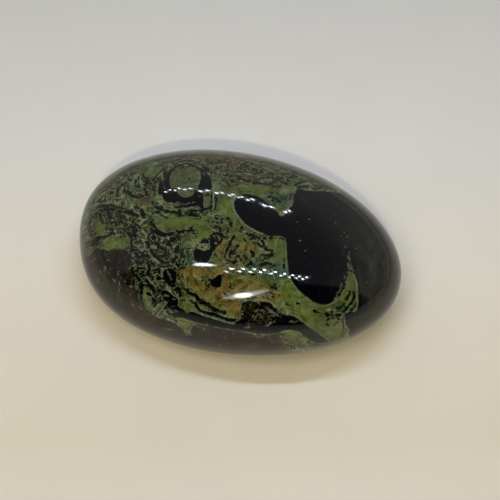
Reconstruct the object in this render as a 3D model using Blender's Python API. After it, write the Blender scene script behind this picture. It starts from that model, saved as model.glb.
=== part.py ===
"""Kambaba jasper pebble: one hand-polished palm stone, a flattened egg with a small
ground spot underneath that it rests on.

Metres, +Z up. The origin is the middle of the pebble's box, on the surface that it
stands on. +X runs along the length towards the narrower end, +Y across it.
"""

import bmesh
import bpy
from mathutils import Vector

# ---- driving dimensions (metres) ------------------------------------------------
HALF_LENGTH = 0.0327    # from the pebble's heart to its ends, before the shaping below
HALF_WIDTH = 0.0222
HALF_HEIGHT = 0.0149
REST_CUT = 0.00035      # how much of the belly is ground away to make the resting spot
SNAP = 0.000015         # corners this close to the resting plane are laid into it
REFINEMENT = 5          # geodesic steps: 20 * 4**(n - 1) triangles

# ---- shaping --------------------------------------------------------------------
# Each is a share of the local radius. x, y and z are the direction from the heart,
# each running from -1 to 1 across the pebble.
EGG = 0.13              # * x^3       the broad end lies at -X
TAPER = 0.12            # * x y^2     the flanks draw in behind the narrow end
SQUARE = 0.04           # * x^2 y^2   fuller corners, seen from above
SKEW = -0.05            # * x y       the flanks slide past each other a little
NOSE = 0.06             # * x z^2     the crest stands towards +X
LEAN_LENGTH = -0.03     # * x z
LEAN_WIDTH = 0.07       # * y z       the rim stands higher at the back
BACK_FULL = 0.06        # * y z^2     the back flank is the fuller one
TWIST = -0.13           # * x y z     the rim is wound along the length
TWIST_NOSE = 0.13       # * x y^2 z   and lifts towards the narrow end
CROWN = -0.08           # * z^4       top and belly are ground flatter than an egg's

STONE_COLOUR = (0.085, 0.105, 0.062, 1.0)
STONE_ROUGHNESS = 0.12


def swell(x, y, z):
    """How far the surface stands out along the direction (x, y, z), as a share of
    the plain ellipsoid's radius."""
    return (1.0
            + EGG * x ** 3
            + TAPER * x * y * y
            + SQUARE * x * x * y * y
            + SKEW * x * y
            + NOSE * x * z * z
            + LEAN_LENGTH * x * z
            + LEAN_WIDTH * y * z
            + BACK_FULL * y * z * z
            + TWIST * x * y * z
            + TWIST_NOSE * x * y * y * z
            + CROWN * z ** 4)


def surface_point(direction):
    x, y, z = direction
    s = swell(x, y, z)
    return Vector((HALF_LENGTH * x * s, HALF_WIDTH * y * s, HALF_HEIGHT * z * s))


def clear_scene():
    for item in list(bpy.data.objects):
        bpy.data.objects.remove(item, do_unlink=True)


def stone_material():
    material = bpy.data.materials.new("polished_jasper")
    material.use_nodes = True
    shader = material.node_tree.nodes["Principled BSDF"]
    shader.inputs["Base Color"].default_value = STONE_COLOUR
    shader.inputs["Roughness"].default_value = STONE_ROUGHNESS
    shader.inputs["Metallic"].default_value = 0.0
    return material


def rounded_body(bm):
    """A geodesic ball drawn out to the pebble's surface."""
    bmesh.ops.create_icosphere(bm, subdivisions=REFINEMENT, radius=1.0)
    for vertex in bm.verts:
        vertex.co = surface_point(vertex.co.normalized())


def grind_resting_spot(bm):
    """Cuts the belly off flat, and closes the cut with one flat face."""
    level = min(vertex.co.z for vertex in bm.verts) + REST_CUT
    for vertex in bm.verts:
        if abs(vertex.co.z - level) < SNAP:
            vertex.co.z = level
    bmesh.ops.bisect_plane(
        bm, geom=bm.verts[:] + bm.edges[:] + bm.faces[:], dist=1e-7,
        plane_co=(0.0, 0.0, level), plane_no=(0.0, 0.0, -1.0), clear_outer=True)
    rim = [edge for edge in bm.edges if edge.is_boundary]
    bmesh.ops.contextual_create(bm, geom=rim)
    return level


def stand_on_origin(bm, level):
    xs = [vertex.co.x for vertex in bm.verts]
    ys = [vertex.co.y for vertex in bm.verts]
    shift = Vector((-(min(xs) + max(xs)) / 2, -(min(ys) + max(ys)) / 2, -level))
    bmesh.ops.translate(bm, verts=bm.verts[:], vec=shift)


def build_pebble():
    mesh = bpy.data.meshes.new("pebble")
    bm = bmesh.new()
    rounded_body(bm)
    level = grind_resting_spot(bm)
    stand_on_origin(bm, level)
    bmesh.ops.recalc_face_normals(bm, faces=bm.faces[:])
    bm.to_mesh(mesh)
    bm.free()
    mesh.shade_smooth()
    mesh.set_sharp_from_angle(angle=0.35)
    mesh.materials.append(stone_material())
    pebble = bpy.data.objects.new("pebble", mesh)
    bpy.context.scene.collection.objects.link(pebble)
    return pebble


clear_scene()
build_pebble()
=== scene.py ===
"""Looks of the kambaba jasper pebble: the polished surface, its pattern, the light and the camera.

The pattern is drawn as strokes, patches and orbs on the stone, seen from the camera
(`view` points, in a 500 x 500 frame) or seen through the stone on its far side. Each drawing
layer becomes a distance in millimetres on the mesh, and the material turns those distances,
with noise that runs through the stone in 3-D, into colour, gloss and relief.
"""

import math

import bmesh
import bpy
import numpy as np
from mathutils import Matrix, Vector


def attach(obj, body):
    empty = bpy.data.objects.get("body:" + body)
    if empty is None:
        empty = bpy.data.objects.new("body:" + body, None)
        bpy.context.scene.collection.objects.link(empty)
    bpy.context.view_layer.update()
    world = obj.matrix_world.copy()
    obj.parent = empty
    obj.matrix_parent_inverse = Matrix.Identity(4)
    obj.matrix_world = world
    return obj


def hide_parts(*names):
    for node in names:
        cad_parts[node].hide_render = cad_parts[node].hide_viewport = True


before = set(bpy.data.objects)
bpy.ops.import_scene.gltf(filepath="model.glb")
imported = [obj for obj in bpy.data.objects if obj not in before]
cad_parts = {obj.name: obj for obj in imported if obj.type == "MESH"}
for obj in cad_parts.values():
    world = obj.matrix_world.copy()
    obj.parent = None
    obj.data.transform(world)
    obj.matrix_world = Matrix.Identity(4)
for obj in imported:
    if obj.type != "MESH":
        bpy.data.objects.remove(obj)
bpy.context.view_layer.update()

# ---- the stone's shape, as the CAD has it (metres) -----------------------------------
HALF = np.array([0.0327, 0.0222, 0.0149])
REST_CUT = 0.00035
EGG, TAPER, SQUARE, SKEW, NOSE = 0.13, 0.12, 0.04, -0.05, 0.06
LEAN_LENGTH, LEAN_WIDTH, BACK_FULL = -0.03, 0.07, 0.06
TWIST, TWIST_NOSE, CROWN = -0.13, 0.13, -0.08


def swell(u):
    x, y, z = u[..., 0], u[..., 1], u[..., 2]
    return (1 + EGG * x**3 + TAPER * x * y * y + SQUARE * x * x * y * y + SKEW * x * y
            + NOSE * x * z * z + LEAN_LENGTH * x * z + LEAN_WIDTH * y * z + BACK_FULL * y * z * z
            + TWIST * x * y * z + TWIST_NOSE * x * y * y * z + CROWN * z**4)


def unit(v):
    return v / np.linalg.norm(v, axis=-1, keepdims=True)


def from_heart(u):
    return HALF * u * swell(u)[..., None]


def sphere_directions():
    t = (np.arange(400) + 0.5) / 400 * np.pi
    p = np.arange(800) / 800 * 2 * np.pi
    t, p = np.meshgrid(t, p, indexing="ij")
    return np.stack([np.sin(t) * np.cos(p), np.sin(t) * np.sin(p), np.cos(t)], -1).reshape(-1, 3)


_all = from_heart(sphere_directions())
HEART = np.array([-(_all[:, 0].min() + _all[:, 0].max()) / 2,
                  -(_all[:, 1].min() + _all[:, 1].max()) / 2,
                  -(_all[:, 2].min() + REST_CUT)])


def surface(u):
    """The point of the stone's skin in the direction u from its heart."""
    return from_heart(u) + HEART


def direction(p):
    """The direction, on the unit ball, of the skin's point nearest p."""
    return unit((p - HEART) / HALF)


def outward(u):
    """The skin's outward normal in the direction u."""
    axis = np.where(np.abs(u[:, 2:3]) < 0.8, [[0.0, 0.0, 1.0]], [[1.0, 0.0, 0.0]])
    a = unit(np.cross(axis, u))
    b = np.cross(u, a)
    e = 1e-4
    return unit(np.cross(from_heart(unit(u + e * a)) - from_heart(unit(u - e * a)),
                         from_heart(unit(u + e * b)) - from_heart(unit(u - e * b))))


# ---- the camera, as in the photograph -----------------------------------------------
VIEW_AZ, VIEW_EL, VIEW_DIST = math.radians(12.0), math.radians(50.0), 0.42
PIXEL = 0.0002                       # one pixel of the 500 x 500 frame, at the stone
BACK = np.array([math.sin(VIEW_AZ) * math.cos(VIEW_EL), -math.cos(VIEW_AZ) * math.cos(VIEW_EL), math.sin(VIEW_EL)])
RIGHT = np.array([math.cos(VIEW_AZ), math.sin(VIEW_AZ), 0.0])
UP = np.cross(BACK, RIGHT)
AIM = HEART + RIGHT * 31.45 * PIXEL + UP * 0.2 * PIXEL
EYE = AIM + BACK * VIEW_DIST


def add_camera():
    data = bpy.data.cameras.new("camera")
    data.sensor_width = 36.0
    data.lens = 36.0 * VIEW_DIST / (500 * PIXEL)
    data.clip_start = 0.01
    camera = bpy.data.objects.new("camera", data)
    bpy.context.scene.collection.objects.link(camera)
    turn = Matrix((RIGHT, UP, BACK)).transposed().to_4x4()
    camera.matrix_world = Matrix.Translation(Vector(EYE)) @ turn
    bpy.context.scene.camera = camera
    return camera


add_camera()


def view_rays(xy):
    xy = np.asarray(xy, float)
    d = (-BACK + RIGHT * ((xy[:, :1] - 250) * PIXEL / VIEW_DIST)
         - UP * ((xy[:, 1:2] - 250) * PIXEL / VIEW_DIST))
    return unit(d)


def on_stone(xy, far=False):
    """Directions of the skin's points that the camera sees at the view points xy, or, where
    far is set, of those on the hidden side behind them. A point outside the outline lands
    on the rim."""
    d = view_rays(xy)
    t = np.linspace(VIEW_DIST - 0.05, VIEW_DIST + 0.05, 401)
    q = (EYE + t[None, :, None] * d[:, None, :] - HEART) / HALF
    r = np.linalg.norm(q, axis=-1)
    f = r - swell(q / r[..., None])
    out = np.empty((len(d), 3))
    for i in range(len(d)):
        inside = np.nonzero(f[i] < 0)[0]
        if len(inside) == 0:
            k = f[i].argmin()
            out[i] = q[i, k]
        elif far:
            k = inside[-1]
            w = f[i, k] / (f[i, k] - f[i, k + 1])
            out[i] = q[i, k] * (1 - w) + q[i, k + 1] * w
        else:
            k = inside[0]
            w = f[i, k - 1] / (f[i, k - 1] - f[i, k])
            out[i] = q[i, k - 1] * (1 - w) + q[i, k] * w
    return unit(out)


# ---- the fine mesh -------------------------------------------------------------------
# low swells that hand polishing leaves, as (view x, view y, spread mm, height mm): they are
# far too low to see, and only bend what the polish mirrors
SWELLS = [(238, 196, 3.0, 0.045), (156, 190, 3.0, 0.040), (303, 206, 3.0, 0.045), (188, 266, 4.0, 0.16),
          (330, 282, 5.0, 0.03), (120, 240, 6.0, 0.05), (170, 320, 6.0, 0.04)]


def polished(u):
    """The skin with its low swells, and its normals."""
    p = surface(u)
    n = outward(u)
    height = np.zeros(len(p))
    slope = np.zeros_like(p)
    for x, y, spread, high in SWELLS:
        d = (p - surface(on_stone([(x, y)]))[0]) * 1e3
        h = high * np.exp(-(d * d).sum(1) / (2 * spread * spread))
        height += h
        slope -= d * (h / (spread * spread))[:, None]
    slope -= n * (slope * n).sum(1)[:, None]
    return p + n * height[:, None] * 1e-3, unit(n - slope)


def fine_mesh():
    """A geodesic mesh, finer on the side that faces the camera, where the drawing is."""
    bm = bmesh.new()
    bmesh.ops.create_icosphere(bm, subdivisions=7, radius=1.0)
    facing = on_stone([(245, 250)])[0]
    limit = math.cos(math.radians(66))
    edges = set()
    for face in bm.faces:
        c = face.calc_center_median().normalized()
        if c.x * facing[0] + c.y * facing[1] + c.z * facing[2] > limit:
            edges.update(face.edges)
    bmesh.ops.subdivide_edges(bm, edges=list(edges), cuts=1, use_grid_fill=True)
    bmesh.ops.triangulate(bm, faces=[f for f in bm.faces if len(f.verts) > 3])
    mesh = bpy.data.meshes.new("polished_pebble")
    bm.to_mesh(mesh)
    bm.free()
    n = len(mesh.vertices)
    co = np.empty(n * 3, np.float64)
    mesh.vertices.foreach_get("co", co)
    u = unit(co.reshape(-1, 3))
    p, normals = polished(u)
    spot = p[:, 2] < 0.0                        # the ground resting spot
    p[spot, 2] = 0.0
    normals[spot] = (0.0, 0.0, -1.0)
    mesh.vertices.foreach_set("co", p.ravel())
    mesh.update()
    mesh.shade_smooth()
    mesh.normals_split_custom_set_from_vertices(normals)
    return mesh, u, p, facing


MESH, U, P, FACING = fine_mesh()
P_MM = P * 1e3
print("mesh", len(MESH.vertices), "vertices", len(MESH.polygons), "faces")

# a flat chart of each side, for telling inside from outside of a drawn outline
_side = unit(np.cross([0.0, 0.0, 1.0], FACING))
_over = np.cross(FACING, _side)


def chart(u, far=False):
    w = -(u @ FACING) if far else u @ FACING
    return np.stack([u @ _side, u @ _over], -1) / (1.0 + np.maximum(w, -0.98))[..., None]


# ---- drawing ---------------------------------------------------------------------------
def line_on_stone(points, closed=False, step=0.12):
    """A smooth curve through the given points, laid on the skin: its points in mm and the
    place of each along the list of points. A point is (x, y) in view, or (x, y, 1) on the
    far side."""
    pts = [tuple(p) for p in points]
    near = [i for i, p in enumerate(pts) if len(p) < 3 or not p[2]]
    away = [i for i, p in enumerate(pts) if i not in near]
    knots = np.empty((len(pts), 3))
    if near:
        knots[near] = on_stone([pts[i][:2] for i in near])
    if away:
        knots[away] = on_stone([pts[i][:2] for i in away], far=True)
    xyz = surface(knots) * 1e3
    n = len(xyz)
    spans = n if closed else n - 1
    out, at = [], []
    for i in range(spans):
        p1, p2 = xyz[i], xyz[(i + 1) % n]
        p0 = xyz[i - 1] if (closed or i > 0) else 2 * p1 - p2
        p3 = xyz[(i + 2) % n] if (closed or i + 2 < n) else 2 * p2 - p1
        m = max(2, int(np.ceil(np.linalg.norm(p2 - p1) / step)))
        for k in range(m):
            t = k / m
            out.append(0.5 * (2 * p1 + (p2 - p0) * t + (2 * p0 - 5 * p1 + 4 * p2 - p3) * t * t
                              + (3 * p1 - p0 - 3 * p2 + p3) * t**3))
            at.append(i + t)
    if not closed:
        out.append(xyz[-1]); at.append(n - 1)
    out = np.array(out)
    on = surface(direction(out * 1e-3)) * 1e3
    on[:, 2] = np.maximum(on[:, 2], 0)
    return on, np.array(at)


FAR_AWAY = 8.0


def distance_to_line(line, radius, reach, closed=False):
    """Distance from each vertex to a line on the stone, less the line's own half width."""
    a = line
    b = np.roll(line, -1, axis=0) if closed else line[1:]
    ra = radius
    rb = np.roll(radius, -1) if closed else radius[1:]
    if not closed:
        a, ra = a[:-1], ra[:-1]
    centre = (line.min(0) + line.max(0)) / 2
    size = np.linalg.norm(line - centre, axis=1).max() + radius.max() + reach
    near = np.nonzero(((P_MM - centre) ** 2).sum(1) < size * size)[0]
    out = np.full(len(P_MM), FAR_AWAY)
    ab = b - a
    ll = np.maximum((ab * ab).sum(1), 1e-12)
    block = max(1, int(4e6 / max(1, len(a))))
    for s in range(0, len(near), block):
        idx = near[s:s + block]
        q = P_MM[idx]
        ap = q[:, None, :] - a[None]
        t = np.clip((ap * ab[None]).sum(-1) / ll[None], 0, 1)
        d = np.sqrt(((ap - t[..., None] * ab[None]) ** 2).sum(-1)) - (ra + (rb - ra) * t)
        out[idx] = d.min(1)
    return np.minimum(out, FAR_AWAY)


def inside_outline(line, far=False):
    poly = chart(direction(line * 1e-3), far)
    low, high = poly.min(0), poly.max(0)
    c = chart(U, far)
    near = np.nonzero((c[:, 0] > low[0]) & (c[:, 0] < high[0]) & (c[:, 1] > low[1]) & (c[:, 1] < high[1]))[0]
    q = c[near]
    hit = np.zeros(len(near), bool)
    x1, y1 = poly[:, 0], poly[:, 1]
    x2, y2 = np.roll(x1, -1), np.roll(y1, -1)
    for i in range(len(poly)):
        if y1[i] == y2[i]:
            continue
        cross = (y1[i] > q[:, 1]) != (y2[i] > q[:, 1])
        hit ^= cross & (q[:, 0] < (x2[i] - x1[i]) * (q[:, 1] - y1[i]) / (y2[i] - y1[i]) + x1[i])
    out = np.zeros(len(U), bool)
    out[near] = hit
    return out


def patch(points, far=False, reach=6.0, round_off=0.0):
    """Signed distance in mm to a closed outline: negative inside."""
    line, _ = line_on_stone(points, closed=True)
    d = distance_to_line(line, np.zeros(len(line)), reach, closed=True)
    inside = inside_outline(line, far)
    return np.where(inside, -np.minimum(d, FAR_AWAY), d) - round_off


def stroke(points, width, reach=1.5):
    """Signed distance in mm to a brush stroke: width is one number, or one for each point."""
    line, at = line_on_stone(points)
    w = np.asarray(width, float)
    r = np.full(len(at), w / 2) if w.ndim == 0 else np.interp(at, np.arange(len(w)), w / 2)
    return distance_to_line(line, r, reach)


def blob(x, y, rx, ry=None, turn=0.0, far=False, reach=1.5):
    """Signed distance to a small oval: centre in view, half sizes in view pixels."""
    ry = ry or rx
    a = np.linspace(0, 2 * np.pi, 12, endpoint=False)
    c, s = math.cos(math.radians(turn)), math.sin(math.radians(turn))
    pts = [(x + rx * math.cos(k) * c - ry * math.sin(k) * s,
            y + rx * math.cos(k) * s + ry * math.sin(k) * c) + ((1,) if far else ()) for k in a]
    return patch(pts, far, reach)


def union(*parts):
    out = np.full(len(U), FAR_AWAY)
    for p in parts:
        out = np.minimum(out, p)
    return out


def smooth(edge0, edge1, x):
    t = np.clip((x - edge0) / (edge1 - edge0), 0, 1)
    return t * t * (3 - 2 * t)


def glow(x, y, radius, far=False):
    """A soft round weight: 1 at a view point, 0 at radius mm from it."""
    c = surface(on_stone([(x, y)], far))[0] * 1e3
    d = np.linalg.norm(P_MM - c, axis=1) / radius
    return np.exp(-2.2 * d * d)


# ---- the drawing ---------------------------------------------------------------------------
# Outlines and strokes are "x,y x,y ..." in view pixels (0.2 mm each at the stone); a point
# "x,y,b" lies on the far side. A stroke's width is in view pixels too: one number, or "a>b"
# to run from a to b along it.
def points(text):
    out = []
    for word in text.split():
        bits = word.split(",")
        out.append((float(bits[0]) + 0.5, float(bits[1]) + 0.5) + ((1,) if len(bits) > 2 else ()))
    return out


def area(text, far=False, reach=1.5):
    return patch(points(text), far, reach)


def strokes(text, far=False):
    """The union of many strokes, one to a line: width, then its points."""
    out = np.full(len(U), FAR_AWAY)
    for row in text.strip().splitlines():
        width, rest = row.split(None, 1)
        ends = [float(v) * 0.2 for v in width.split(">")]
        pts = points(rest)
        if far:
            pts = [p[:2] + (1,) for p in pts]
        w = np.interp(np.linspace(0, 1, len(pts)), np.linspace(0, 1, len(ends)), ends)
        out = np.minimum(out, stroke(pts, w))
    return out


# the great black orb with its lobe, from the notch round; its right side runs on into the slaty end
GREAT_ORB = """281,216.5 286.5,212 290.5,205 292.5,197 294.5,191 298.5,188.7 305,190.3 313,190.8 322,191 331,191.5
 340,193 348,194.5 354,192.5 358,196,b 352,215,b 345,235,b 342,260,b 346,285,b 352,305,b 362,322,b 358,333 350,338.5
 348.5,333.5 350,329.5 348.5,327 345.7,323.5 344.6,318 345.6,313.5 348.5,311.2 351.5,311.6 354.5,311.5 357.3,307.5
 358.2,302 358,295 357.4,287 356,279.5 354,273 352.3,266 350.6,258 349.2,249.5 346.6,256 346.2,264 347,271.5
 344.5,279 341.5,289 338,295.5 333,300.3 327.5,303.3 321,303.5 313,300.7 306,295.7 299.5,290.2 294,283.5 290.4,277.5
 288.6,270 287.4,261 286.8,252 286.4,243 285.2,238 281,235.2 276,234.8 271,235.2 265,233.3 257.5,230.6 250.5,227
 244.5,222.5 239.5,217 235.8,211 233.4,205.5 234,200.5 237,196.8 241.5,194.3 247,193.8 253,195 259,197.3 265,201
 271,205.8 276,211"""
LOWER_LEFT = """82.6,257 88,256.6 91.5,253 94,250.5 97,248.6 102,249 108,250.3 113,249.3 118,248.5 123.5,250 127.8,253.5
 130.3,259.5 130.2,266 131.5,270 133,275 133.5,281 134.5,287.5 138,291.5 141.5,298 143.5,304.5 147,309.8 152.5,313.5 159,317
 167,320.3 174,323 179.5,327.5 184,333 187,340 190,352 175,344,b 160,330,b 145,320,b 125,305,b 108,288,b 95,270,b 86,256,b"""
LOWER_RIM = """190,331.5 194,326 199,322.5 206,323.5 214,326 226,328 238,330 248,333 258,338 268,334 276,331.5 279,336
 281,343 286,350 296,354 290,340,b 260,330,b 230,322,b 205,318,b 185,322,b 186,338"""
DARK_BAND = """163,308 168,309.5 174,308.3 179,307.8 183,309.5 186.5,313.3 191,311.3 196,313.3 202,315.7 208,317.7 215,319.3
 224,322 232,323.8 238,322 241,318 241.5,311 242,304 248,301.8 256.5,302 264,301.3 270.3,303.6 275,308 280,313 287,315
 293.5,316.5 299.5,320.5 305.2,325 311,329 316,333 321.5,336.5 327,341 322,342.5 312,340.5 303,334 297,330.5 290,329
 283,329.5 278,331.5 270,333 260,333 248,331 236,329.5 226,327.5 214,325.5 205,323.5 196,321.5 188,318.5 182,316.5
 174,315.7 167,312.5"""
EYE_BELOW = """157.8,184.5 161,183 163.5,186 166,190 170,189.5 178,190 190,190 197,190.5 201,193.5 202.5,198 203.2,204
 203.5,209 200.5,207.5 197,204.8 192,206.3 186,206.8 180,205 176,202.8 170,201.8 165.5,200.6 162.7,198 162,194 158.5,193.5"""
EYE_BESIDE = """198.5,167.5 203,169.8 207,173.8 209.7,178 210.8,184 210,189.5 205,190.5 200,189.5 197.5,186.5 199.7,182
 200.6,177 200,172"""
LENS = """150.5,230.5 154,229.3 158,229.6 162,231.5 167,232.8 171.5,231.8 172.2,234.5 167.5,236 163,236.8 159,235.2 154.5,233"""
MIDDLE_BLOB = """194,249.5 197,248.3 201,249.7 205,250.5 208.5,249 211,246.5 212.3,250 211,254 209.5,257.5 208,260.8
 204,262.8 198,262.3 194.5,259 193.3,254"""
KNOT = """162,291 166,290.3 169.5,292.8 173,295.5 176.5,297.5 177.7,302 176.7,305.5 179.5,309 174,311.5 168,311 163.5,307.5
 166,304 163.8,300 162.2,296"""
LONG_OVAL = "164,270 168,268.3 172,268.3 175,271 176.2,275 175.7,280 174.3,283.5 172.5,286.7 169,285 165,281 163,276"
HOOK = "210.5,281 212,279.5 215,277 219,274.5 221,276 220.7,281 219.7,285.7 215.5,286.7 212,285.7 210,283"
SWIRL_HOLES = ["146,294 146.3,292.3 148,291.8 150,292.8 151.2,295 148.5,295.2",
               "151.5,297 153.5,298.3 155.7,300 156.2,303 155,306.7 152.5,307 151,304.5 152,301"]

orb = area(GREAT_ORB, reach=6)
lower_left = area(LOWER_LEFT, reach=6)
lower_rim = area(LOWER_RIM, reach=3)
dark_band = area(DARK_BAND, reach=3)
eye_disc = blob(184.5, 177.0, 14.6, 11.9, reach=6)
eye_low = blob(185.8, 191.3, 8.8, 6.4)
eye_small = blob(207.3, 203.5, 4.3, 6.6)
swirl = blob(151.5, 299.5, 8.2, 13.6, -13)
small_ring = blob(204.4, 245.0, 4.8, 5.2)
kidney = area("143.5,168 147,165 152,163.5 157,164 160.5,167 160,170.5 157.5,173.8 154,177.3 149.5,179 145,177 142.8,173", reach=3)

black = union(orb, dark_band, area(EYE_BELOW), area(EYE_BESIDE), area(LENS), area(MIDDLE_BLOB), area(KNOT),
              area(LONG_OVAL), area(HOOK))
black = np.maximum(black, -union(eye_disc, eye_low, eye_small))
black = union(black, *[area(hole) for hole in SWIRL_HOLES])
umber = union(lower_left, lower_rim)

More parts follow.
